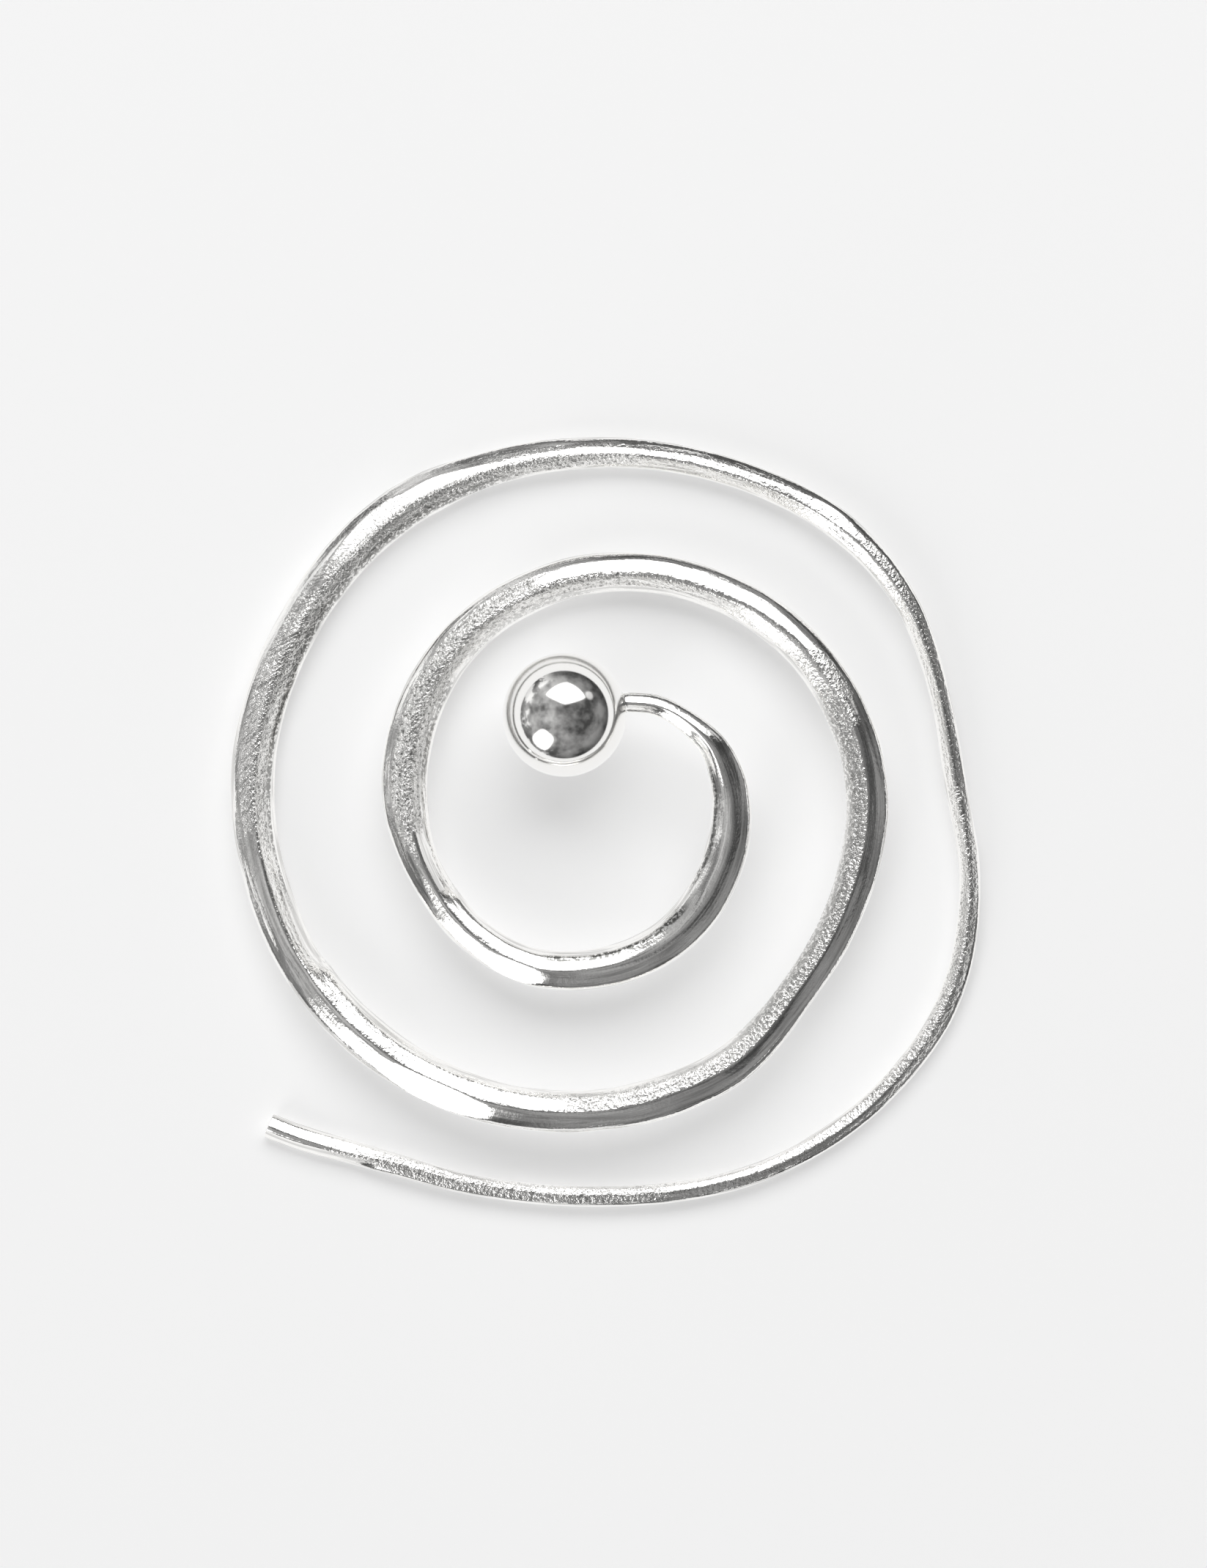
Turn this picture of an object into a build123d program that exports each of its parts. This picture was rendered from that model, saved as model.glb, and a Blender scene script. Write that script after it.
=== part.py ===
# Spiral ear cuff: one forged silver wire with a ball soldered on its inner end
# It lies on a level surface. Seen from above it winds outward clockwise from the ball.

import os
from math import cos, radians, sin, sqrt
from typing import NamedTuple

from build123d import *

os.makedirs("parts", exist_ok=True)

# Driving dimensions, in millimetres
coil_reach = 11.2        # middle of the spiral to the middle of the wire, round the outer coil
wire_width = 1.6         # the coil's wire, seen from above, where it is widest
wire_depth = 1.25        # the coil's wire, top to bottom, where it is deepest
ear_wire_gauge = 0.75    # the thin outer end that goes through the ear
end_rounding = 0.15      # broken edge round the cut outer end
neck_gauge = 0.68        # the wire where it enters the ball
ball_diameter = 4.2
ball_clearance = 0.65    # air under the ball
ball_sink = 0.69         # how far the wire's end is buried in the ball
solder_leg = 0.2         # size of the solder's concave collar, along the wire and up the ball

# Direction from the wire's inner end to the middle of the ball, clockwise from +X
ball_bearing = 162

# How far the shoulder of a section stands out and up, as shares of half its width and half its depth
round_shoulder = (0.707, 0.707)
ridged_shoulder = (0.78, 0.46)
# The point halfway up a flank, as shares of the same two lengths
round_flank = (0.383, 0.924)
ridged_flank = (0.40, 0.79)


class Station(NamedTuple):
    turn: float     # degrees round the spiral, clockwise from +X
    reach: float    # share of coil_reach
    width: float    # share of the wire's width, or of its gauge
    depth: float    # share of the wire's depth, or of its gauge
    rise: float     # air under the wire, as a share of that under the neck
    ridge: float    # 0 is a round section, 1 has a full ridge along its top


neck = [
    Station(287, 0.261, 1.00, 1.00, 1.00, 0.0),
    Station(300, 0.287, 1.00, 1.00, 1.00, 0.0),
]

coil = [
    Station(315, 0.337, 0.44, 0.58, 0.99, 0.2),
    Station(330, 0.379, 0.50, 0.64, 0.96, 0.4),
    Station(345, 0.425, 0.63, 0.72, 0.90, 0.6),
    Station(360, 0.455, 0.77, 0.80, 0.77, 0.7),
    Station(390, 0.498, 0.91, 0.90, 0.60, 0.8),
    Station(420, 0.543, 0.89, 0.90, 0.52, 0.9),
    Station(450, 0.564, 0.86, 0.88, 0.45, 1.0),
    Station(465, 0.571, 0.80, 0.86, 0.41, 1.0),
    Station(480, 0.562, 0.78, 0.85, 0.36, 1.0),
    Station(510, 0.535, 0.78, 0.86, 0.29, 0.9),
    Station(540, 0.529, 1.00, 0.92, 0.25, 0.8),
    Station(570, 0.539, 0.98, 0.94, 0.22, 0.8),
    Station(600, 0.576, 0.91, 0.92, 0.17, 0.9),
    Station(630, 0.633, 0.86, 0.90, 0.13, 1.0),
    Station(660, 0.708, 0.84, 0.90, 0.13, 1.0),
    Station(690, 0.802, 0.88, 0.91, 0.19, 1.0),
    Station(720, 0.873, 0.91, 0.93, 0.29, 0.8),
    Station(750, 0.896, 0.81, 0.90, 0.40, 0.8),
    Station(765, 0.917, 0.78, 0.88, 0.45, 0.9),
    Station(780, 0.965, 0.89, 0.91, 0.49, 1.0),
    Station(795, 0.981, 0.91, 0.93, 0.51, 1.0),
    Station(810, 0.992, 0.88, 0.94, 0.49, 1.0),
    Station(840, 1.003, 0.97, 0.98, 0.32, 1.0),
    Station(870, 1.001, 0.95, 1.00, 0.10, 1.0),
    Station(885, 0.992, 0.95, 1.00, 0.03, 0.9),
    Station(900, 0.992, 0.95, 1.00, 0.00, 0.9),
    Station(930, 0.982, 0.92, 0.98, 0.00, 0.9),
    Station(960, 0.999, 0.94, 0.94, 0.00, 1.0),
    Station(975, 0.998, 0.75, 0.86, 0.00, 1.0),
    Station(990, 1.007, 0.67, 0.80, 0.02, 0.9),
    Station(1020, 1.068, 0.60, 0.70, 0.06, 0.8),
    Station(1035, 1.117, 0.64, 0.66, 0.08, 0.8),
]

ear_wire = [
    Station(1050, 1.140, 1.14, 1.10, 0.09, 0.5),
    Station(1065, 1.131, 0.92, 1.02, 0.09, 0.3),
    Station(1080, 1.146, 0.98, 1.00, 0.06, 0.2),
    Station(1095, 1.232, 0.95, 1.00, 0.02, 0.2),
    Station(1110, 1.302, 1.05, 1.00, 0.00, 0.2),
    Station(1125, 1.318, 1.00, 1.00, 0.00, 0.2),
    Station(1140, 1.309, 0.94, 1.00, 0.00, 0.2),
    Station(1170, 1.253, 0.94, 1.00, 0.00, 0.2),
    Station(1185, 1.261, 0.92, 1.00, 0.00, 0.2),
    Station(1200, 1.304, 1.06, 0.96, 0.00, 0.3),
    Station(1211.8, 1.399, 1.16, 0.92, 0.00, 0.4),
]

# The wire is lofted through a section at each of these turns, one arc of the spiral at a time
loft_step = 15           # degrees from section to section
loft_arc = 60            # degrees in one loft
loft_span = round(loft_arc / loft_step)
loft_turns = [neck[0].turn, *range(neck[1].turn, int(ear_wire[-1].turn), loft_step), ear_wire[-1].turn]
loft_starts = range(0, len(loft_turns) - 1, loft_span)

ball_radius = ball_diameter / 2
neck_rise = ball_radius + ball_clearance - neck_gauge / 2
up = Vector(0, 0, 1)


class Section(NamedTuple):
    turn: float
    reach: float
    width: float
    depth: float
    rise: float
    ridge: float


# A row of a table at its real size
def real_size(station, full_width, full_depth):
    return Section(
        station.turn,
        station.reach * coil_reach,
        station.width * full_width,
        station.depth * full_depth,
        station.rise * neck_rise,
        station.ridge,
    )


rows = [real_size(station, neck_gauge, neck_gauge) for station in neck]
rows += [real_size(station, wire_width, wire_depth) for station in coil]
rows += [real_size(station, ear_wire_gauge, ear_wire_gauge) for station in ear_wire]


# How fast a column changes per degree at a row, from the rows on each side
def slope(index, column):
    chords = [
        (b[column] - a[column], b.turn - a.turn)
        for a, b in zip(rows[:-1], rows[1:])
    ][max(index - 1, 0):index + 1]
    if len(chords) == 1:
        return chords[0][0] / chords[0][1]
    (rise_before, before), (rise_after, after) = chords
    return (rise_before * after / before + rise_after * before / after) / (before + after)


# The section at any turn, on a smooth curve through the rows
def section_at(turn):
    index = sum(row.turn <= turn for row in rows[1:-1])
    low, high = rows[index], rows[index + 1]
    span = high.turn - low.turn
    t = (turn - low.turn) / span
    columns = [
        low[c] * (2 * t**3 - 3 * t**2 + 1)
        + high[c] * (3 * t**2 - 2 * t**3)
        + slope(index, c) * span * (t**3 - 2 * t**2 + t)
        + slope(index + 1, c) * span * (t**3 - t**2)
        for c in range(1, len(low))
    ]
    return Section(turn, *columns)


# The middle of a section
def middle_of(section):
    angle = radians(section.turn)
    height = section.rise + section.depth / 2
    return Vector(section.reach * cos(angle), -section.reach * sin(angle), height)


# The wire's direction at a turn
def direction_at(turn):
    step = 1
    return (middle_of(section_at(turn + step)) - middle_of(section_at(turn - step))).normalized()


# A plane square to the wire, with X outward and Y up
def square_plane(middle, direction):
    return Plane(middle, x_dir=up.cross(direction), z_dir=direction)


# A point between the round and the ridged form of a section
def section_point(section, round_share, ridged_share):
    out = round_share[0] + (ridged_share[0] - round_share[0]) * section.ridge
    high = round_share[1] + (ridged_share[1] - round_share[1]) * section.ridge
    return out * section.width / 2, high * section.depth / 2


# The outline of a section as three-point arcs: two flanks on top, two sides and the underside
def section_arcs(section):
    side, top = section.width / 2, section.depth / 2
    shoulder_out, shoulder_up = section_point(section, round_shoulder, ridged_shoulder)
    flank_out, flank_up = section_point(section, round_flank, ridged_flank)
    return [
        [(0, top), (flank_out, flank_up), (shoulder_out, shoulder_up)],
        [(shoulder_out, shoulder_up), (side, 0), (shoulder_out, -shoulder_up)],
        [(shoulder_out, -shoulder_up), (0, -top), (-shoulder_out, -shoulder_up)],
        [(-shoulder_out, -shoulder_up), (-side, 0), (-shoulder_out, shoulder_up)],
        [(-shoulder_out, shoulder_up), (-flank_out, flank_up), (0, top)],
    ]


# The inner end of the wire, and the ball that it is buried in
inner_end = middle_of(rows[0])
inner_direction = direction_at(rows[0].turn)
bearing = radians(ball_bearing)
to_ball = Vector(cos(bearing), -sin(bearing), 0)
ball_middle = inner_end + to_ball * (ball_radius - ball_sink)

# Where the wire's axis leaves the ball, measured along the wire from its inner end
along = (inner_end - ball_middle).dot(inner_direction)
aside = (inner_end - ball_middle - inner_direction * along).length
ball_exit = sqrt(ball_radius**2 - aside**2) - along

# The cut outer end, and the steps round its broken edge: how far ahead, how much smaller all round
outer_end = middle_of(rows[-1])
outer_direction = direction_at(rows[-1].turn)
corner_steps = [
    (end_rounding * sin(radians(angle)), end_rounding * (1 - cos(radians(angle))))
    for angle in (0, 30, 60, 90)
]

with BuildPart() as cuff_in_place:
    for start in loft_starts:
        for turn in loft_turns[start:start + loft_span + 1]:
            section = section_at(turn)
            with BuildSketch(square_plane(middle_of(section), direction_at(turn))):
                with BuildLine():
                    for arc in section_arcs(section):
                        ThreePointArc(*arc)
                make_face()
        loft(clean=False)

    for ahead, inset in corner_steps:
        end = rows[-1]
        section = end._replace(width=end.width - 2 * inset, depth=end.depth - 2 * inset)
        with BuildSketch(square_plane(outer_end + outer_direction * ahead, outer_direction)):
            with BuildLine():
                for arc in section_arcs(section):
                    ThreePointArc(*arc)
            make_face()
    loft()

    with Locations(ball_middle):
        Sphere(ball_radius)

    # The solder's collar, turned about the wire's axis
    neck_radius = neck_gauge / 2
    collar_start = ball_exit - solder_leg
    collar_end = ball_exit + solder_leg
    with BuildSketch(Plane(inner_end, x_dir=inner_direction, z_dir=up)):
        with BuildLine():
            Polyline(
                (collar_end, neck_radius),
                (collar_end, 0),
                (collar_start, 0),
                (collar_start, neck_radius + solder_leg),
            )
            ThreePointArc(
                (collar_start, neck_radius + solder_leg),
                (ball_exit, neck_radius + solder_leg / 3),
                (collar_end, neck_radius),
            )
        make_face()
    revolve(axis=Axis(inner_end, inner_direction))

# The origin is under the middle of the whole piece, on the surface that it lies on
box = cuff_in_place.part.bounding_box()
base = Vector(box.center().X, box.center().Y, box.min.Z)

with BuildPart() as spiral_cuff:
    with Locations(-base):
        add(cuff_in_place.part)

spiral_cuff.part.label = "spiral_cuff"
export_step(spiral_cuff.part, "parts/spiral_cuff.step")
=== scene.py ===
# Spiral ear cuff in forged sterling silver, lying on a pale sheet and seen from straight above.
# The wire is modelled straight, in millimetres, forged and filed, and then bent along its spiral.

from math import atan2, cos, hypot, pi, radians, sin

import bpy
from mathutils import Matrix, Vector, noise


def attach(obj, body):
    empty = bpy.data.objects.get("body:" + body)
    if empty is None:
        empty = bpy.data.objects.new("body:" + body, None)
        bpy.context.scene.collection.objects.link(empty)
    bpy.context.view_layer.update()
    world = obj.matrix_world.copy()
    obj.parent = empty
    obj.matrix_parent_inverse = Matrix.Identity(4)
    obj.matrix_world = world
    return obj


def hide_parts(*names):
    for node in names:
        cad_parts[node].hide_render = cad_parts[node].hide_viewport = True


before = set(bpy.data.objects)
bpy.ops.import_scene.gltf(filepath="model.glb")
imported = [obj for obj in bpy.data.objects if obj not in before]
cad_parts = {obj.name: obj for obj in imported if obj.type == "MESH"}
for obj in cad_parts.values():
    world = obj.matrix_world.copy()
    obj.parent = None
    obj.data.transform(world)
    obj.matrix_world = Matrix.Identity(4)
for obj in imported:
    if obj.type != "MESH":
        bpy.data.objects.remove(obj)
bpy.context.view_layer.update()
bpy.ops.object.select_all(action="DESELECT")  # the CAD node stays selected after loading

milli = 0.001  # the pieces are modelled at one unit to the millimetre, then brought to metres


# Helpers

def toLinear(hexColour):
    channels = [int(hexColour[i:i + 2], 16) / 255 for i in (0, 2, 4)]
    linear = [c / 12.92 if c <= 0.04045 else ((c + 0.055) / 1.055) ** 2.4 for c in channels]
    return (*linear, 1)


def addNode(tree, kind, settings=None, links=None, **inputs):
    node = tree.nodes.new(kind)
    for name, value in (settings or {}).items():
        setattr(node, name, value)
    for name, value in inputs.items():
        node.inputs[name.replace("_", " ")].default_value = value
    for name, source in (links or {}).items():
        tree.links.new(source, node.inputs[name])
    return node


def smoothStep(low, high, value):
    t = min(max((value - low) / (high - low), 0), 1)
    return t * t * (3 - 2 * t)


# Wire

wire = {
    "coilReach": 11.2,      # middle of the spiral to the middle of the wire, round the outer coil
    "coilWidth": 1.6,
    "coilDepth": 1.25,
    "earGauge": 0.75,       # the thin outer end that goes through the ear
    "neckGauge": 0.68,
    "neckRise": 2.41,       # air under the neck
    "spiralMiddle": Vector((-0.906, 1.284, 0.0127)),
    "searchStep": 0.25,     # degrees, to find where the wire leaves the solder
    "spineStep": 2,         # degrees between the points of the spine
    "ringStep": 0.9,        # between the rings of the cage
    "ringSides": 30,
    "levels": 2,
    "crispness": 30,        # of the edges between the forged flats
    "underside": 0.95,      # how far down it reaches, a little flat from the anvil
    "endRounding": 0.15,
    # the rings of the cut end: how far ahead, as a share of its rounding, and how much narrower
    "endSteps": [(0.8, 0.99), (0.15, 0.96), (0.05, 0.9), (0, 0.6)],
}

# Turn clockwise from +X in degrees, reach, width, depth and rise as shares of the sizes above
neckRows = [
    (287, 0.261, 1.00, 1.00, 1.00),
    (300, 0.287, 1.00, 1.00, 1.00),
]
coilRows = [
    (315, 0.337, 0.44, 0.58, 0.99),
    (330, 0.379, 0.50, 0.64, 0.96),
    (345, 0.425, 0.63, 0.72, 0.90),
    (360, 0.455, 0.77, 0.80, 0.77),
    (390, 0.498, 0.91, 0.90, 0.60),
    (420, 0.543, 0.89, 0.90, 0.52),
    (450, 0.564, 0.86, 0.88, 0.45),
    (465, 0.571, 0.80, 0.86, 0.41),
    (480, 0.562, 0.78, 0.85, 0.36),
    (510, 0.535, 0.78, 0.86, 0.29),
    (540, 0.529, 1.00, 0.92, 0.25),
    (570, 0.539, 0.98, 0.94, 0.22),
    (600, 0.576, 0.91, 0.92, 0.17),
    (630, 0.633, 0.86, 0.90, 0.13),
    (660, 0.708, 0.84, 0.90, 0.13),
    (690, 0.802, 0.88, 0.91, 0.19),
    (720, 0.873, 0.91, 0.93, 0.29),
    (750, 0.896, 0.81, 0.90, 0.40),
    (765, 0.917, 0.78, 0.88, 0.45),
    (780, 0.965, 0.89, 0.91, 0.49),
    (795, 0.981, 0.91, 0.93, 0.51),
    (810, 0.992, 0.88, 0.94, 0.49),
    (840, 1.003, 0.97, 0.98, 0.32),
    (870, 1.001, 0.95, 1.00, 0.10),
    (885, 0.992, 0.95, 1.00, 0.03),
    (900, 0.992, 0.95, 1.00, 0.00),
    (930, 0.982, 0.92, 0.98, 0.00),
    (960, 0.999, 0.94, 0.94, 0.00),
    (975, 0.998, 0.75, 0.86, 0.00),
    (990, 1.007, 0.67, 0.80, 0.02),
    (1020, 1.068, 0.60, 0.70, 0.06),
    (1035, 1.117, 0.64, 0.66, 0.08),
]
earRows = [
    (1050, 1.140, 1.14, 1.10, 0.09),
    (1065, 1.131, 0.92, 1.02, 0.09),
    (1080, 1.146, 0.98, 1.00, 0.06),
    (1095, 1.232, 0.95, 1.00, 0.02),
    (1110, 1.302, 1.05, 1.00, 0.00),
    (1125, 1.318, 1.00, 1.00, 0.00),
    (1140, 1.309, 0.94, 1.00, 0.00),
    (1170, 1.253, 0.94, 1.00, 0.00),
    (1185, 1.261, 0.92, 1.00, 0.00),
    (1200, 1.304, 1.06, 0.96, 0.00),
    (1211.8, 1.399, 1.16, 0.92, 0.00),
]

# The forged flats along the wire: turn, then the outer flank's tilt in degrees and its cut as a share,
# the same of the inner flank, and the cuts of the steep outer shoulder and of the steeper inner side
flankRows = [
    (287, 20, 0.04, 50, 0.22, 0.00, 0.00),
    (308, 22, 0.04, 50, 0.22, 0.00, 0.00),
    (326, 24, 0.05, 30, 0.14, 0.01, 0.00),
    (340, 26, 0.06, 48, 0.20, 0.02, 0.00),
    (350, 26, 0.07, 46, 0.14, 0.03, 0.01),
    (358, 27, 0.08, 39, 0.09, 0.03, 0.02),
    (396, 27, 0.08, 38, 0.08, 0.03, 0.04),
    (406, 27, 0.07, 27, 0.10, 0.03, 0.07),
    (420, 27, 0.07, 25, 0.10, 0.03, 0.09),
    (435, 27, 0.08, 21, 0.08, 0.03, 0.09),
    (456, 25, 0.09, 16, 0.09, 0.01, 0.06),
    (480, 25, 0.10, 16, 0.10, 0.00, 0.04),
    (497, 27, 0.09, 24, 0.10, 0.00, 0.05),
    (503, 42, 0.10, 51, 0.32, 0.01, 0.00),
    (522, 42, 0.09, 51, 0.32, 0.01, 0.00),
    (535, 34, 0.05, 51, 0.24, 0.00, 0.00),
    (570, 30, 0.06, 51, 0.26, 0.00, 0.00),
    (600, 24, 0.06, 51, 0.26, 0.02, 0.00),
    (640, 21, 0.09, 50, 0.22, 0.05, 0.00),
    (668, 22, 0.09, 50, 0.22, 0.04, 0.00),
    (676, 22, 0.09, 31, 0.10, 0.03, 0.05),
    (696, 22, 0.08, 31, 0.08, 0.03, 0.05),
    (702, 30, 0.13, 22, 0.07, 0.06, 0.06),
    (738, 28, 0.13, 18, 0.06, 0.10, 0.06),
    (762, 28, 0.13, 18, 0.06, 0.10, 0.06),
    (790, 26, 0.12, 18, 0.06, 0.08, 0.06),
    (818, 26, 0.07, 18, 0.07, 0.05, 0.06),
    (860, 25, 0.08, 22, 0.08, 0.06, 0.07),
    (867, 27, 0.10, 51, 0.38, 0.16, 0.00),
    (890, 26, 0.10, 51, 0.40, 0.10, 0.00),
    (906, 22, 0.06, 49, 0.30, 0.05, 0.00),
    (930, 21, 0.07, 38, 0.10, 0.03, 0.08),
    (940, 21, 0.07, 30, 0.08, 0.14, 0.11),
    (972, 20, 0.08, 28, 0.08, 0.18, 0.10),
    (982, 19, 0.08, 36, 0.08, 0.18, 0.03),
    (994, 18, 0.10, 46, 0.20, 0.17, 0.00),
    (1026, 18, 0.10, 46, 0.20, 0.12, 0.00),
    (1036, 18, 0.08, 29, 0.10, 0.07, 0.02),
    (1048, 24, 0.06, 34, 0.10, 0.04, 0.02),
    (1056, 27, 0.05, 50, 0.22, 0.02, 0.00),
    (1092, 27, 0.05, 50, 0.20, 0.10, 0.00),
    (1104, 24, 0.04, 30, 0.03, 0.12, 0.00),
    (1120, 24, 0.04, 22, 0.03, 0.12, 0.00),
    (1127, 24, 0.06, 22, 0.14, 0.12, 0.00),
    (1150, 20, 0.14, 22, 0.09, 0.10, 0.00),
    (1195, 16, 0.18, 24, 0.09, 0.02, 0.00),
    (1202, 52, 0.20, 22, 0.11, 0.00, 0.00),
    (1212, 52, 0.20, 24, 0.11, 0.00, 0.00),
]
shoulderTilt = 41       # degrees
innerSideTilt = 54

# What hand work leaves on the skin. A mark has a height in mm, and comes so often in a mm along and across
handWork = {
    "swells": (0.035, 0.55, 2.2),      # long swells left by the hammer, so often across the whole wire
    "hammering": (0.012, 1.5, 2),      # its shorter marks
    "drawing": (0.007, 0.25, 5),       # lines along the wire, faint where it is grained
    "grain": 0.02,                     # mm, the stipple of the grained flanks
    "grainScale": 3.2,
    "leastGrain": 0.06,                # a share of the grain is everywhere on the forged wire
    "raggedness": (1.3, 4),            # how coarse and how fine the borders of its finishes wander
    "borderWander": 9,                 # degrees that they wander by
    "paintedSeamWander": 0.06,                # mm, the same for a painted reflection seam
    "paintedSeamBorder": (0.6, 1.4),          # where a painted seam fades, as shares of half its width
    "sideBorder": (-0.12, 0.12),       # where a finish on one flank fades over the ridge
    "outerLimit": (0.66, 0.82),        # and where it fades down the steep sides, which stay smooth
    "innerLimit": (0.87, 0.96),
}
hammerOffset = Vector((7, 3, 1))       # so that the marks don't fall on one another
drawingOffset = Vector((2, 9, 4))

# Where the surface is grained by the hammer or scratched by the file:
# from and to turn, fade in degrees, side (1 outer, -1 inner, 0 both), amount
grainZones = [
    (520, 574, 10, 1, 1.0),
    (574, 614, 8, 1, 0.9),
    (528, 576, 8, -1, 1.0),
    (576, 642, 10, -1, 0.7),
    (642, 702, 12, -1, 0.3),
    (694, 703, 6, 1, 0.7),
    (702, 752, 10, -1, 0.6),
    (752, 808, 10, -1, 0.65),
    (808, 892, 14, -1, 0.25),
    (892, 932, 14, 0, 0.6),
    (936, 1000, 8, -1, 0.8),
    (975, 1046, 12, 0, 0.25),
    (1046, 1086, 8, 0, 0.35),
    (1086, 1122, 10, 0, 0.6),
    (1122, 1160, 6, 0, 0.3),
    (1160, 1196, 10, 0, 0.6),
]
fileZones = [
    (528, 600, 14, 0, 0.7),
    (892, 934, 16, 0, 1.0),
]

# Seams of painted reflection: dark lines painted along the inner edge for the dark that it mirrors, which
# are partly tarnish where they lie in the grain, and stains in the grain beside it:
# from and to turn, fade, place as a share of the half width, width in mm, amount
paintedReflectionSeams = [
    (352, 398, 6, -0.80, 0.13, 0.8),
    (412, 458, 8, -0.55, 0.2, 1.0),
    (546, 574, 10, -0.78, 0.3, 0.7),
    (592, 628, 10, -0.78, 0.3, 0.4),
    (706, 772, 12, -0.5, 0.7, 0.6),
    (884, 970, 16, -0.75, 0.24, 0.8),
]


def realSizes(rows, width, depth):
    return [
        (turn, reach * wire["coilReach"], across * width, deep * depth, rise * wire["neckRise"])
        for turn, reach, across, deep, rise in rows
    ]


wireRows = (
    realSizes(neckRows, wire["neckGauge"], wire["neckGauge"])
    + realSizes(coilRows, wire["coilWidth"], wire["coilDepth"])
    + realSizes(earRows, wire["earGauge"], wire["earGauge"])
)


# A smooth curve through the rows of a table, at any turn
def readTable(rows, turn):
    index = min(sum(row[0] <= turn for row in rows[1:-1]), len(rows) - 2)
    low, high = rows[index], rows[index + 1]
    span = high[0] - low[0]
    t = min(max((turn - low[0]) / span, 0), 1)

    def slope(at, column):
        before, after = max(at - 1, 0), min(at + 1, len(rows) - 1)
        chords = [
            ((rows[b][column] - rows[a][column]) / (rows[b][0] - rows[a][0]), rows[b][0] - rows[a][0])
            for a, b in ((before, at), (at, after)) if a != b
        ]
        if len(chords) == 1:
            return chords[0][0]
        (first, firstSpan), (second, secondSpan) = chords
        return (first * secondSpan + second * firstSpan) / (firstSpan + secondSpan)

    return [
        low[c] * (2 * t**3 - 3 * t**2 + 1)
        + high[c] * (3 * t**2 - 2 * t**3)
        + slope(index, c) * span * (t**3 - 2 * t**2 + t)
        + slope(index + 1, c) * span * (t**3 - t**2)
        for c in range(1, len(low))
    ]


# The row of a table at any turn, eased from one to the next
def easedRow(rows, turn):
    for low, high in zip(rows, rows[1:]):
        if turn <= high[0]:
            break
    share = smoothStep(low[0], high[0], turn)
    return [a + (b - a) * share for a, b in zip(low[1:], high[1:])]


def wireSize(turn):
    return readTable(wireRows, turn)[1:3]


def wireMiddle(turn):
    reach, width, depth, rise = readTable(wireRows, turn)
    angle = radians(turn)
    return wire["spiralMiddle"] + Vector((reach * cos(angle), -reach * sin(angle), rise + depth / 2))


ball = {
    "radius": 2.1,
    "bearing": 162,      # from the wire's buried end to the middle of the ball, clockwise from +X
    "sink": 0.69,        # how far the wire's end is buried
    "solderLeg": 0.1,
    "opening": 12.5,     # degrees round the wire that are cut out for the solder's neck
    "neckCuts": 6,
    "dullness": 0.35,    # of its lower part, as a share of the grain's matting
    "polished": (0.42, 0.62),  # heights where the full polish starts and is reached, as shares of the radius
    "segments": 80,
    "rings": 44,
}
bearing = radians(ball["bearing"])
buriedEnd = wireMiddle(wireRows[0][0])
ballMiddle = buriedEnd + Vector((cos(bearing), -sin(bearing), 0)) * (ball["radius"] - ball["sink"])

# The wire starts where its solder collar ends
startTurn = wireRows[0][0]
while (wireMiddle(startTurn) - ballMiddle).length < ball["radius"] + ball["solderLeg"]:
    startTurn += wire["searchStep"]
endTurn = wireRows[-1][0]

# The spine that the straight wire is bent along, and how far along it each turn lies
spineTurns = [startTurn]
while spineTurns[-1] < endTurn - wire["spineStep"]:
    spineTurns.append(spineTurns[-1] + wire["spineStep"])
spineTurns.append(endTurn)
spinePoints = [wireMiddle(turn) for turn in spineTurns]
spineAlong = [0]
for a, b in zip(spinePoints, spinePoints[1:]):
    spineAlong.append(spineAlong[-1] + (b - a).length)
wireLength = spineAlong[-1] + wire["endRounding"]  # the last row is where the cut end's edge starts
# one more point straight on, to bend the rounded end along
spinePoints.append(spinePoints[-1] + (spinePoints[-1] - spinePoints[-2]).normalized())


def turnAt(along):
    index = min(max(sum(s <= along for s in spineAlong[1:-1]), 0), len(spineAlong) - 2)
    low, high = spineAlong[index], spineAlong[index + 1]
    return spineTurns[index] + (spineTurns[index + 1] - spineTurns[index]) * (along - low) / (high - low)


def alongAt(turn):
    index = min(sum(t <= turn for t in spineTurns[1:-1]), len(spineTurns) - 2)
    low, high = spineTurns[index], spineTurns[index + 1]
    return spineAlong[index] + (spineAlong[index + 1] - spineAlong[index]) * (turn - low) / (high - low)


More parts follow.
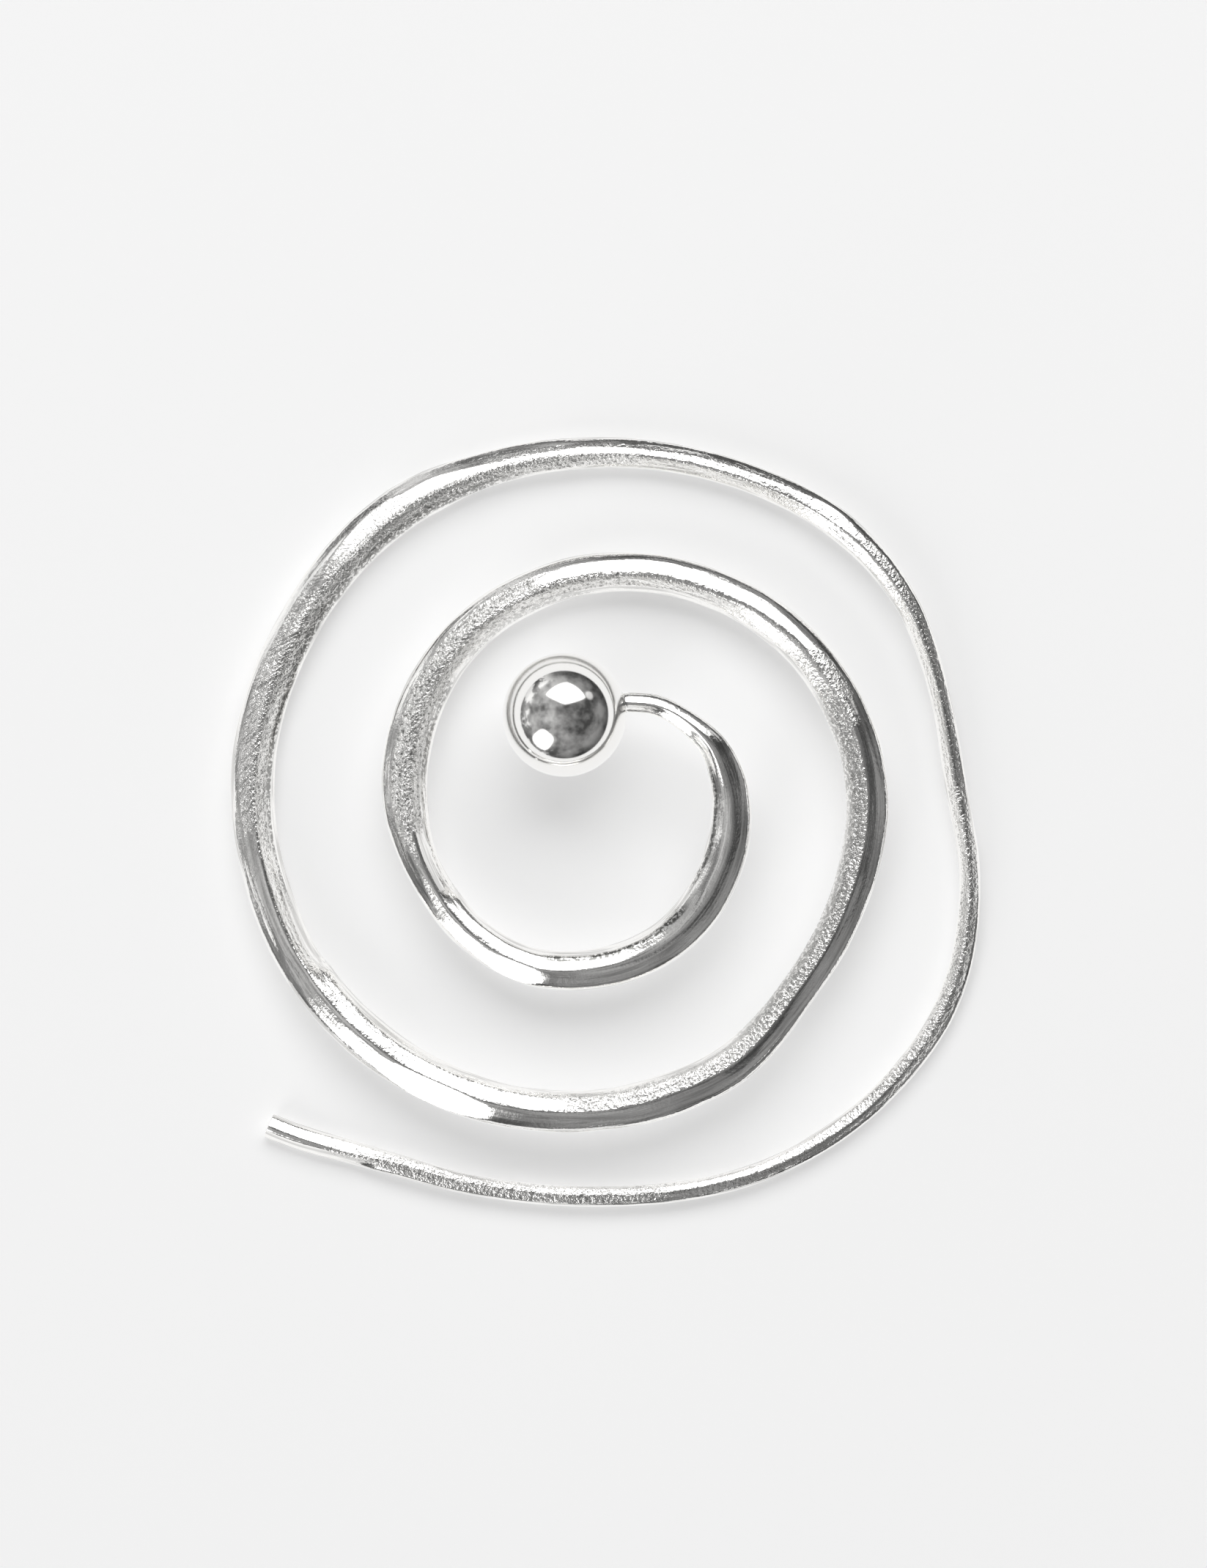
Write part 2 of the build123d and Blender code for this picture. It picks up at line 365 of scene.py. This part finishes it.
# A cage of rings, extruded along X and resized ring by ring
def makeStraightWire():
    bpy.ops.mesh.primitive_circle_add(
        vertices=wire["ringSides"], radius=0.5, fill_type="NOTHING", rotation=(0, pi / 2, 0))
    piece = bpy.context.object
    piece.name = "forged_wire"
    bpy.ops.object.transform_apply(rotation=True)
    width, depth = wireSize(startTurn)
    bpy.ops.object.mode_set(mode="EDIT")
    bpy.ops.mesh.select_all(action="SELECT")
    bpy.ops.transform.resize(value=(1, width, depth))
    rounding = wire["endRounding"]
    count = round((wireLength - rounding) / wire["ringStep"])
    step = (wireLength - rounding) / count
    for ring in range(1, count + 1):
        nextWidth, nextDepth = wireSize(turnAt(ring * step))
        bpy.ops.mesh.extrude_region_move(TRANSFORM_OT_translate={"value": (step, 0, 0)})
        bpy.ops.transform.resize(
            value=(1, nextWidth / width, nextDepth / depth), center_override=(ring * step, 0, 0))
        width, depth = nextWidth, nextDepth
    for ahead, narrower in wire["endSteps"]:
        bpy.ops.mesh.extrude_region_move(TRANSFORM_OT_translate={"value": (ahead * rounding, 0, 0)})
        bpy.ops.transform.resize(value=(1, narrower, narrower), center_override=(wireLength, 0, 0))
    bpy.ops.mesh.edge_face_add()
    bpy.ops.object.mode_set(mode="OBJECT")
    applyModifier(piece, "SUBSURF", levels=wire["levels"], render_levels=wire["levels"])
    return piece


def applyModifier(piece, kind, **settings):
    modifier = piece.modifiers.new(kind.title(), kind)
    for name, value in settings.items():
        setattr(modifier, name, value)
    bpy.ops.object.select_all(action="DESELECT")
    piece.select_set(True)
    bpy.context.view_layer.objects.active = piece
    bpy.ops.object.modifier_apply(modifier=modifier.name)


# How far the section's skin is from its middle, in the direction of an angle up from the outer side
def sectionReach(angle, width, depth, flats):
    outerTilt, outerCut, innerTilt, innerCut, outerShoulder, innerSide = flats
    a, b = width / 2, depth / 2
    y, z = cos(angle), sin(angle)
    inverse = [hypot(y / a, z / b)]
    for side, tilt, cut in (
        (1, outerTilt, outerCut), (-1, innerTilt, innerCut),
        (1, shoulderTilt, outerShoulder), (-1, innerSideTilt, innerSide),
    ):
        n = (side * sin(radians(tilt)), cos(radians(tilt)))
        support = hypot(a * n[0], b * n[1]) * (1 - cut)
        inverse.append(max((y * n[0] + z * n[1]) / support, 0))
    inverse.append(max(-z / (b * wire["underside"]), 0))
    power = wire["crispness"]
    return sum(i ** power for i in inverse) ** (-1 / power)


# How much of a finish there is at a place on the wire
def zoneAmount(zones, turn, across, ragged):
    amount = 0
    onTop = 1 - smoothStep(*handWork["outerLimit"], across) - smoothStep(*handWork["innerLimit"], -across)
    for start, end, fade, side, strength in zones:
        place = turn + ragged * handWork["borderWander"]
        share = smoothStep(start - fade, start, place) * (1 - smoothStep(end, end + fade, place))
        share *= share
        if side:
            share *= smoothStep(*handWork["sideBorder"], side * across)
        amount = max(amount, share * strength)
    return amount * onTop


# How much painted reflection seam there is at a place: a dark line painted along the inner edge
def paintedSeamAmount(turn, place, halfWidth, ragged):
    amount = 0
    for start, end, fade, share, width, strength in paintedReflectionSeams:
        near = abs(place - share * halfWidth - ragged * handWork["paintedSeamWander"]) / (width / 2)
        length = smoothStep(start - fade, start, turn) * (1 - smoothStep(end, end + fade, turn))
        amount = max(amount, strength * length * (1 - smoothStep(*handWork["paintedSeamBorder"], near)))
    return amount


# A mark's height at a place on the straight wire
def markHeight(name, x, y, z, offset=Vector()):
    height, lengthwise, crosswise = handWork[name]
    return height * noise.noise(Vector((x * lengthwise, y * crosswise, z * crosswise)) + offset)


# Forge the round cage to its ridged section, with the unevenness of hand work
def forgeFlanks(piece):
    rings = {}
    names = ("grain", "scratches", "paintedSeam")
    for name in names:
        piece.data.attributes.new(name, "FLOAT", "POINT")
    grain, scratches, paintedSeam = (piece.data.attributes[name].data for name in names)
    coarse, fine = handWork["raggedness"]
    cornerStart = wireLength - wire["endRounding"] * 1.1  # just before the cut end's first ring
    for vertex, grained, scratched, paintedSeamShare in zip(piece.data.vertices, grain, scratches, paintedSeam):
        x, y, z = vertex.co
        key = round(x, 3)
        if key not in rings:
            turn = turnAt(min(max(x, 0), spineAlong[-1]))
            rings[key] = (turn, *wireSize(turn), easedRow(flankRows, turn))
        turn, width, depth, flats = rings[key]
        angle = atan2(z, y)
        across = cos(angle)
        ragged = noise.noise(vertex.co * coarse) + 0.5 * noise.noise(vertex.co * fine)
        grained.value = max(zoneAmount(grainZones, turn, across, ragged), handWork["leastGrain"])
        scratched.value = zoneAmount(fileZones, turn, across, ragged)
        size = width / wire["coilWidth"]
        reach = sectionReach(angle, width, depth, flats)
        reach += size * markHeight("swells", x, y / width, z / depth)
        reach += size * markHeight("hammering", x, y, z, hammerOffset)
        reach += size * (1 - grained.value) * markHeight("drawing", x, y, z, drawingOffset)
        reach += handWork["grain"] * grained.value * noise.noise(vertex.co * handWork["grainScale"])
        if x > cornerStart:  # the cut end keeps its rounded corner
            reach *= min(hypot(y, z) * hypot(cos(angle) * 2 / width, sin(angle) * 2 / depth), 1)
        vertex.co = (x, reach * cos(angle), reach * sin(angle))
        # the painted reflection seams, on the upper side only
        if z > 0:
            paintedSeamShare.value = paintedSeamAmount(turn, vertex.co.y, width / 2, ragged)


def bendWire(piece):
    curve = bpy.data.curves.new("spine", "CURVE")
    curve.dimensions = "3D"
    curve.twist_mode = "Z_UP"
    spline = curve.splines.new("POLY")
    spline.points.add(len(spinePoints) - 1)
    for point, place in zip(spline.points, spinePoints):
        point.co = (*place, 1)
    spine = bpy.data.objects.new("spine", curve)
    bpy.context.scene.collection.objects.link(spine)
    applyModifier(piece, "CURVE", object=spine, deform_axis="POS_X")
    bpy.data.objects.remove(spine)


print("wire: length", round(wireLength, 1), "mm")
forgedWire = makeStraightWire()
print("wire: cage", len(forgedWire.data.vertices), "vertices")
forgeFlanks(forgedWire)

# the finishes follow the wire by the place that each point had before it was bent
straight = forgedWire.data.attributes.new("straightPlace", "FLOAT_VECTOR", "POINT")
for vertex, item in zip(forgedWire.data.vertices, straight.data):
    item.vector = vertex.co
bendWire(forgedWire)
print("wire: forged and bent")


# Flats filed on the outer side of the bent wire:
# turn, the turn whose outward direction each one faces, tilt in degrees, cut in mm
filedFlats = [
    (476, 476, 32, 0.06),
    (504, 504, 30, 0.03),
    (842, 842, 32, 0.08),
    (941, 953, 22, 0.02),
    (972, 972, 21, 0.03),
    (994, 994, 19, 0.02),
    (1032, 1032, 19, 0.03),
]
fileReach = 5                         # mm along the wire, each way, that the file can touch
flankAngles = range(20, 90, 2)        # degrees up from the outer side, where the wire can meet the file


def fileFlat(piece, turn, facing, tilt, cut):
    along = (wireMiddle(facing + 1) - wireMiddle(facing - 1)).normalized()
    outward = Vector((0, 0, 1)).cross(along).normalized()
    width, depth = wireSize(turn)
    normal = outward * sin(radians(tilt)) + Vector((0, 0, cos(radians(tilt))))
    flats = easedRow(flankRows, turn)
    support = max(
        sectionReach(radians(a), width, depth, flats) * cos(radians(a + tilt - 90))
        for a in flankAngles)
    level = wireMiddle(turn).dot(normal) + support - cut
    middle = alongAt(turn)
    straight = piece.data.attributes["straightPlace"].data
    for vertex, item in zip(piece.data.vertices, straight):
        if abs(item.vector[0] - middle) < fileReach:
            beyond = vertex.co.dot(normal) - level
            if beyond > 0:
                vertex.co -= normal * beyond


for row in filedFlats:
    fileFlat(forgedWire, *row)
print("wire: filed flat in", len(filedFlats), "places")


# Ball, soldered on the wire's inner end
def solderBall(wirePiece):
    toWire = (wireMiddle(startTurn) - ballMiddle).normalized()
    bpy.ops.object.select_all(action="DESELECT")
    bpy.ops.mesh.primitive_uv_sphere_add(
        segments=ball["segments"], ring_count=ball["rings"], radius=ball["radius"],
        location=ballMiddle, rotation=toWire.to_track_quat("Z", "Y").to_euler())
    piece = bpy.context.object
    bpy.ops.object.transform_apply(location=True, rotation=True)
    bpy.ops.object.mode_set(mode="EDIT")
    bpy.ops.mesh.select_all(action="DESELECT")
    bpy.ops.object.mode_set(mode="OBJECT")
    for face in piece.data.polygons:
        face.select = (face.center - ballMiddle).normalized().dot(toWire) > cos(radians(ball["opening"]))
    bpy.ops.object.mode_set(mode="EDIT")
    bpy.ops.mesh.delete(type="FACE")
    bpy.ops.object.mode_set(mode="OBJECT")
    dull = piece.data.attributes.new("dull", "FLOAT", "POINT")  # only its top is buffed to a full polish
    for vertex, item in zip(piece.data.vertices, dull.data):
        height = (vertex.co - ballMiddle).z / ball["radius"]
        item.value = ball["dullness"] * (1 - smoothStep(*ball["polished"], height))
    wirePiece.select_set(True)
    bpy.context.view_layer.objects.active = wirePiece
    bpy.ops.object.join()
    bpy.ops.object.mode_set(mode="EDIT")
    bpy.ops.mesh.select_mode(type="EDGE")
    bpy.ops.mesh.select_all(action="DESELECT")
    bpy.ops.mesh.select_non_manifold()
    bpy.ops.mesh.bridge_edge_loops(number_cuts=ball["neckCuts"], interpolation="SURFACE", smoothness=1)
    bpy.ops.mesh.select_all(action="SELECT")
    bpy.ops.mesh.normals_make_consistent(inside=False)
    bpy.ops.object.mode_set(mode="OBJECT")


solderBall(forgedWire)
mesh = forgedWire.data
print("cuff:", len(mesh.vertices), "vertices", sum(len(p.vertices) - 2 for p in mesh.polygons), "triangles")

bpy.ops.object.select_all(action="DESELECT")
forgedWire.select_set(True)
bpy.context.view_layer.objects.active = forgedWire
bpy.ops.transform.resize(value=(milli, milli, milli), center_override=(0, 0, 0))
bpy.ops.object.transform_apply(location=True, rotation=True, scale=True)
bpy.ops.object.shade_smooth()


# Silver

silver = {
    "colour": "FBFAF8",
    "pitAndPaintedSeamColour": "6A6A68",   # darkened bottoms of the grain and of the file strokes, and the dark of the painted reflection seams
    "roughness": 0.09,
    "matting": 0.3,          # how much rougher the grained places are
    "burnish": 0.7,          # and how much of that is rubbed off the tips of the grain
    "grainSpacing": 0.12,    # mm, stipple of the grained flanks
    "grainHeight": 0.11,
    "polishSpacing": 0.9,    # mm, the slow ripple of a hand-polished surface
    "polishHeight": 0.006,
    "drawnSpacing": 0.16,    # mm, fine lines along the wire, left by drawing and polishing
    "drawnHeight": 0.009,
    "drawnStretch": (0.06, 1, 1),
    "strokeSpacing": 0.08,   # mm, between file strokes, drawn coarser than real so that they show
    "strokeHeight": 0.045,
    "strokeSlant": -38,      # degrees from the wire's direction
    "strokeStretch": (12, 1, 3),
    # tarnish in the bottoms of a pattern that runs from 0 to 1: full up to the first height, gone from
    # the second, and how strong it is
    "pits": (0.34, 0.47, 0.85),
    "grooves": (0.36, 0.5, 0.6),
    "dullLines": (0.35, 0.55, 0.35),
    "paintedSeamGaps": (0.46, 0.6, 0.2),    # a painted seam is whole up to the first, and the last is left from the second
    "tips": (0.5, 0.6),      # where the tips of the grain start, and where they are fully burnished
}


# Sterling silver, forged, filed and polished: nearly white metal whose look is what it reflects
def makeSilver():
    material = bpy.data.materials.new("forged sterling silver")
    material.use_nodes = True
    tree = material.node_tree
    shader = tree.nodes["Principled BSDF"]
    shader.inputs["Metallic"].default_value = 1
    place = addNode(tree, "ShaderNodeAttribute", {"attribute_name": "straightPlace"})
    grain = addNode(tree, "ShaderNodeAttribute", {"attribute_name": "grain"})
    scratches = addNode(tree, "ShaderNodeAttribute", {"attribute_name": "scratches"})

    # slow ripples, so that no reflection on the polished metal has a ruled edge
    ripple = addNode(tree, "ShaderNodeTexNoise", links={"Vector": place.outputs["Vector"]},
                     Scale=1 / silver["polishSpacing"], Detail=3.0, Roughness=0.5)
    rippleBump = addNode(tree, "ShaderNodeBump", links={"Height": ripple.outputs["Fac"]},
                         Strength=1.0, Distance=silver["polishHeight"] * milli)

    # drawn lines, which streak the dark flanks lengthwise
    lengthwise = addNode(tree, "ShaderNodeMapping", links={"Vector": place.outputs["Vector"]},
                         Scale=silver["drawnStretch"])
    lines = addNode(tree, "ShaderNodeTexNoise", links={"Vector": lengthwise.outputs["Vector"]},
                    Scale=1 / silver["drawnSpacing"], Detail=2.0, Roughness=0.6)
    linesBump = addNode(tree, "ShaderNodeBump",
                        links={"Height": lines.outputs["Fac"], "Normal": rippleBump.outputs["Normal"]},
                        Strength=1.0, Distance=silver["drawnHeight"] * milli)

    # stipple, which breaks a reflection into light and dark grains
    stipple = addNode(tree, "ShaderNodeTexNoise", links={"Vector": place.outputs["Vector"]},
                      Scale=1 / silver["grainSpacing"], Detail=2.0, Roughness=0.6)
    grainBump = addNode(tree, "ShaderNodeBump",
                        links={"Height": stipple.outputs["Fac"], "Strength": grain.outputs["Fac"],
                               "Normal": linesBump.outputs["Normal"]},
                        Distance=silver["grainHeight"] * milli)

    # file strokes, slanting across the wire
    slant = addNode(tree, "ShaderNodeMapping", {"vector_type": "TEXTURE"},
                    links={"Vector": place.outputs["Vector"]},
                    Rotation=(0, 0, radians(silver["strokeSlant"])), Scale=silver["strokeStretch"])
    strokes = addNode(tree, "ShaderNodeTexNoise", links={"Vector": slant.outputs["Vector"]},
                      Scale=1 / silver["strokeSpacing"], Detail=2.0, Roughness=0.6)
    strokeBump = addNode(tree, "ShaderNodeBump",
                         links={"Height": strokes.outputs["Fac"], "Strength": scratches.outputs["Fac"],
                                "Normal": grainBump.outputs["Normal"]},
                         Distance=silver["strokeHeight"] * milli)
    tree.links.new(strokeBump.outputs["Normal"], shader.inputs["Normal"])

    # the bottoms of the grain, of the file strokes and of the drawn lines hold a little tarnish,
    # which shows as fine dark specks and lines
    low, high, dark = silver["pits"]
    pits = addNode(tree, "ShaderNodeMapRange", {"interpolation_type": "SMOOTHSTEP"},
                   links={"Value": stipple.outputs["Fac"]},
                   From_Min=low, From_Max=high, To_Min=dark, To_Max=0.0)
    low, high, dark = silver["grooves"]
    grooves = addNode(tree, "ShaderNodeMapRange", {"interpolation_type": "SMOOTHSTEP"},
                      links={"Value": strokes.outputs["Fac"]},
                      From_Min=low, From_Max=high, To_Min=dark, To_Max=0.0)
    low, high, dark = silver["dullLines"]
    dullLines = addNode(tree, "ShaderNodeMapRange", {"interpolation_type": "SMOOTHSTEP"},
                        links={"Value": lines.outputs["Fac"]},
                        From_Min=low, From_Max=high, To_Min=dark, To_Max=0.0)
    pitted = addNode(tree, "ShaderNodeMath", {"operation": "MULTIPLY"},
                     links={0: pits.outputs["Result"], 1: grain.outputs["Fac"]})
    grooved = addNode(tree, "ShaderNodeMath", {"operation": "MULTIPLY"},
                      links={0: grooves.outputs["Result"], 1: scratches.outputs["Fac"]})
    worked = addNode(tree, "ShaderNodeMath", {"operation": "MAXIMUM"},
                     links={0: pitted.outputs["Value"], 1: grooved.outputs["Value"]})
    lined = addNode(tree, "ShaderNodeMath", {"operation": "MAXIMUM"},
                    links={0: worked.outputs["Value"], 1: dullLines.outputs["Result"]})

    # the painted reflection seams are broken up by the grain into a jagged dark line
    paintedSeam = addNode(tree, "ShaderNodeAttribute", {"attribute_name": "paintedSeam"})
    low, high, remnant = silver["paintedSeamGaps"]
    broken = addNode(tree, "ShaderNodeMapRange", {"interpolation_type": "SMOOTHSTEP"},
                     links={"Value": stipple.outputs["Fac"]},
                     From_Min=low, From_Max=high, To_Min=1.0, To_Max=remnant)
    jagged = addNode(tree, "ShaderNodeMath", {"operation": "MULTIPLY"},
                     links={0: broken.outputs["Result"], 1: paintedSeam.outputs["Fac"]})
    # tarnish in the hollows, together with the painted reflection seams
    tarnishAndPaintedSeams = addNode(tree, "ShaderNodeMath", {"operation": "MAXIMUM"},
                      links={0: lined.outputs["Value"], 1: jagged.outputs["Value"]})
    colour = addNode(tree, "ShaderNodeMix", {"data_type": "RGBA"},
                     links={"Factor": tarnishAndPaintedSeams.outputs["Value"]})
    colour.inputs[6].default_value = toLinear(silver["colour"])
    colour.inputs[7].default_value = toLinear(silver["pitAndPaintedSeamColour"])
    tree.links.new(colour.outputs[2], shader.inputs["Base Color"])

    # worked places are frosted, but the tips of their grain are rubbed bright, which makes it glitter
    low, high = silver["tips"]
    tips = addNode(tree, "ShaderNodeMapRange", {"interpolation_type": "SMOOTHSTEP"},
                   links={"Value": stipple.outputs["Fac"]},
                   From_Min=low, From_Max=high, To_Min=1.0, To_Max=1 - silver["burnish"])
    frosted = addNode(tree, "ShaderNodeMath", {"operation": "MULTIPLY"},
                      links={0: tips.outputs["Result"], 1: grain.outputs["Fac"]})
    dull = addNode(tree, "ShaderNodeAttribute", {"attribute_name": "dull"})
    either = addNode(tree, "ShaderNodeMath", {"operation": "MAXIMUM"},
                     links={0: frosted.outputs["Value"], 1: dull.outputs["Fac"]})
    matt = addNode(tree, "ShaderNodeMath", {"operation": "MULTIPLY_ADD"},
                   links={0: either.outputs["Value"]})
    matt.inputs[1].default_value = silver["matting"]
    matt.inputs[2].default_value = silver["roughness"]
    tree.links.new(matt.outputs["Value"], shader.inputs["Roughness"])
    return material


forgedWire.data.materials.clear()
forgedWire.data.materials.append(makeSilver())
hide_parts("spiral_cuff")
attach(forgedWire, "root")
print("silver: on the cuff")


# Stage, lights and camera

studio = {
    "floorWidth": 3.0,
    "floorColour": "E8E8E8",
    "floorGlow": 0.313,
    "mirroredColour": "F3F3F3",  # the sheet as the metal mirrors it
    "mirroredGlow": 1.1,
    "evenness": 0.92,            # how far the sheet's shadows are washed out there
    "clothEdge": (0.36, 0.5),    # where a softbox's cloth starts to fade and ends, as shares of its size
    "aim": (-0.0675 * milli, 1.2975 * milli, 0),
    "frameHeight": 53.475 * milli,
    "sensor": 36,
    "lens": 300,
}

# azimuth anticlockwise from +X and tilt from straight up in degrees, distance and size in metres,
# radiance, and corners: 1 makes a diamond, 2 an ellipse and more comes near a rectangle
lights = {
    "topSoftbox": (86, 41, 0.6, (0.9, 0.52), 3.0, 1.25),
    "lowSoftbox": (229, 64, 0.6, (0.36, 0.46), 2.2, 3.0),
}

# The dim room round the sheet, which only the metal shows. Pairs are from and to
room = {
    "tones": [(0.0, "989898"), (0.25, "A5A5A5"), (0.46, "8C8C8C"), (0.6, "767676"), (1.0, "6E6E6E")],
    "clutterScale": 1.9,         # dim and pale patches all round
    "clutterBorder": (0.38, 0.62),
    "clutterStrength": (0.35, 1.8),
    "wallHeight": (0.0, 0.3),    # its lowest part is darker
    "wallStrength": (0.35, 1.0),
    "shapeScale": 3.2,           # pale things that stand on the table at its left
    "shapeBorder": (0.5, 0.54),
    "shapeHeight": (0.3, 0.4),
    "shapeSide": (-0.5, -0.2),
    "shapeStrength": 1.8,
    "board": (38, 61),           # azimuth and tilt of a pale board beside the top softbox's right corner
    "boardSpread": 9,            # degrees from its middle to where it has faded out
    "boardGlow": 4.0,
}


# The direction of a place in the sky over the sheet
def skyward(azimuth, tilt):
    return Vector((
        sin(radians(tilt)) * cos(radians(azimuth)),
        sin(radians(tilt)) * sin(radians(azimuth)),
        cos(radians(tilt)),
    ))


def addLight(name, azimuth, tilt, distance, size, radiance, corners):
    direction = skyward(azimuth, tilt)
    bpy.ops.object.light_add(type="AREA", location=direction * distance)
    light = bpy.context.object
    light.name = name
    light.data.shape = "RECTANGLE"
    light.data.size, light.data.size_y = size
    light.data.energy = radiance * pi * size[0] * size[1]
    light.rotation_euler = direction.to_track_quat("Z", "Y").to_euler()

    # the cloth of a softbox is bright in the middle and fades at its border
    light.data.use_nodes = True
    tree = light.data.node_tree
    panel = addNode(tree, "ShaderNodeNewGeometry")
    fromMiddle = addNode(tree, "ShaderNodeVectorMath", {"operation": "SUBTRACT"},
                         links={0: panel.outputs["Parametric"]})
    fromMiddle.inputs[1].default_value = (0.5, 0.5, 0)
    both = addNode(tree, "ShaderNodeSeparateXYZ", links={"Vector": fromMiddle.outputs["Vector"]})
    total = addNode(tree, "ShaderNodeMath", {"operation": "ADD"})
    for index, side in enumerate(("X", "Y")):
        length = addNode(tree, "ShaderNodeMath", {"operation": "ABSOLUTE"},
                         links={0: both.outputs[side]})
        share = addNode(tree, "ShaderNodeMath", {"operation": "POWER"},
                        links={0: length.outputs["Value"]})
        share.inputs[1].default_value = corners
        tree.links.new(share.outputs["Value"], total.inputs[index])
    fadeStart, fadeEnd = studio["clothEdge"]
    fade = addNode(tree, "ShaderNodeMapRange", {"interpolation_type": "SMOOTHSTEP"},
                   links={"Value": total.outputs["Value"]},
                   From_Min=fadeStart ** corners, From_Max=fadeEnd ** corners, To_Min=1.0, To_Max=0.0)
    tree.links.new(fade.outputs["Result"], tree.nodes["Emission"].inputs["Strength"])


# A matt white acrylic sheet: even and soft, with no gloss of its own
def laySheet():
    bpy.ops.mesh.primitive_plane_add(size=studio["floorWidth"])
    floor = bpy.context.object
    floor.name = "pale_sheet"
    material = bpy.data.materials.new("matt white acrylic sheet")
    material.use_nodes = True
    tree = material.node_tree
    shader = tree.nodes["Principled BSDF"]
    shader.inputs["Base Color"].default_value = toLinear(studio["floorColour"])
    shader.inputs["Roughness"].default_value = 0.9
    shader.inputs["Specular IOR Level"].default_value = 0
    shader.inputs["Emission Color"].default_value = (1, 1, 1, 1)
    shader.inputs["Emission Strength"].default_value = studio["floorGlow"]

    # in the metal the sheet looks evenly lit, as a light table does
    ray = addNode(tree, "ShaderNodeLightPath")
    washed = addNode(tree, "ShaderNodeMath", {"operation": "MULTIPLY"},
                     links={0: ray.outputs["Is Glossy Ray"]})
    washed.inputs[1].default_value = studio["evenness"]
    even = addNode(tree, "ShaderNodeEmission",
                   Color=toLinear(studio["mirroredColour"]), Strength=studio["mirroredGlow"])
    sheet = addNode(tree, "ShaderNodeMixShader",
                    links={0: washed.outputs["Value"], 1: shader.outputs["BSDF"],
                           2: even.outputs["Emission"]})
    tree.links.new(sheet.outputs["Shader"], tree.nodes["Material Output"].inputs["Surface"])
    floor.data.materials.append(material)
    return floor


def paintRoom():
    world = bpy.data.worlds.new("dark studio")
    bpy.context.scene.world = world
    world.use_nodes = True
    tree = world.node_tree
    direction = addNode(tree, "ShaderNodeTexCoord").outputs["Generated"]
    parts = addNode(tree, "ShaderNodeSeparateXYZ", links={"Vector": direction})

    # its tones, from its left side to its right
    sideways = addNode(tree, "ShaderNodeMapRange", links={"Value": parts.outputs["X"]}, From_Min=-1.0)
    tones = addNode(tree, "ShaderNodeValToRGB", links={"Fac": sideways.outputs["Result"]})
    while len(tones.color_ramp.elements) < len(room["tones"]):
        tones.color_ramp.elements.new(0.5)
    for stop, (position, colour) in zip(tones.color_ramp.elements, room["tones"]):
        stop.position, stop.color = position, toLinear(colour)

    # dim and pale patches, over darker low walls
    clutter = addNode(tree, "ShaderNodeTexNoise", links={"Vector": direction},
                      Scale=room["clutterScale"], Detail=6.0, Roughness=0.62)
    low, high = room["clutterBorder"]
    dim, pale = room["clutterStrength"]
    patches = addNode(tree, "ShaderNodeMapRange", links={"Value": clutter.outputs["Fac"]},
                      From_Min=low, From_Max=high, To_Min=dim, To_Max=pale)
    low, high = room["wallHeight"]
    dim, pale = room["wallStrength"]
    lowWalls = addNode(tree, "ShaderNodeMapRange", links={"Value": parts.outputs["Z"]},
                       From_Min=low, From_Max=high, To_Min=dim, To_Max=pale)
    shading = addNode(tree, "ShaderNodeMath", {"operation": "MULTIPLY"},
                      links={0: patches.outputs["Result"], 1: lowWalls.outputs["Result"]})

    # pale things stand on the table at its left
    standing = addNode(tree, "ShaderNodeTexNoise", links={"Vector": direction},
                       Scale=room["shapeScale"], Detail=4.0, Roughness=0.6)
    low, high = room["shapeBorder"]
    shapes = addNode(tree, "ShaderNodeMapRange", links={"Value": standing.outputs["Fac"]},
                     From_Min=low, From_Max=high)
    low, high = room["shapeHeight"]
    under = addNode(tree, "ShaderNodeMapRange", links={"Value": parts.outputs["Z"]},
                    From_Min=low, From_Max=high, To_Min=1.0, To_Max=0.0)
    low, high = room["shapeSide"]
    left = addNode(tree, "ShaderNodeMapRange", links={"Value": parts.outputs["X"]},
                   From_Min=low, From_Max=high, To_Min=room["shapeStrength"], To_Max=0.0)
    lowShapes = addNode(tree, "ShaderNodeMath", {"operation": "MULTIPLY"},
                        links={0: shapes.outputs["Result"], 1: under.outputs["Result"]})
    total = addNode(tree, "ShaderNodeMath", {"operation": "MULTIPLY_ADD"},
                    links={0: lowShapes.outputs["Value"], 1: left.outputs["Result"],
                           2: shading.outputs["Value"]})

    # and a pale board leans beside the softbox
    towardBoard = addNode(tree, "ShaderNodeVectorMath", {"operation": "DOT_PRODUCT"},
                          links={0: direction})
    towardBoard.inputs[1].default_value = skyward(*room["board"])
    board = addNode(tree, "ShaderNodeMapRange", {"interpolation_type": "SMOOTHSTEP"},
                    links={"Value": towardBoard.outputs["Value"]},
                    From_Min=cos(radians(room["boardSpread"])),
                    From_Max=cos(radians(room["boardSpread"] / 2)),
                    To_Min=0.0, To_Max=room["boardGlow"])
    lit = addNode(tree, "ShaderNodeMath", {"operation": "ADD"},
                  links={0: total.outputs["Value"], 1: board.outputs["Result"]})
    background = tree.nodes["Background"]
    tree.links.new(tones.outputs["Color"], background.inputs["Color"])
    tree.links.new(lit.outputs["Value"], background.inputs["Strength"])


def placeCamera():
    distance = studio["frameHeight"] * studio["lens"] / studio["sensor"]
    bpy.ops.object.camera_add(location=Vector(studio["aim"]) + Vector((0, 0, distance)), rotation=(0, 0, 0))
    camera = bpy.context.object
    camera.data.sensor_fit = "VERTICAL"
    camera.data.sensor_height = studio["sensor"]
    camera.data.lens = studio["lens"]
    camera.data.clip_start = 0.01
    camera.data.clip_end = 10
    bpy.context.scene.camera = camera


laySheet()
for name, settings in lights.items():
    addLight(name, *settings)
paintRoom()
placeCamera()
bpy.context.scene.view_settings.view_transform = "Standard"
print("stage: sheet,", len(lights), "softboxes, room and camera")
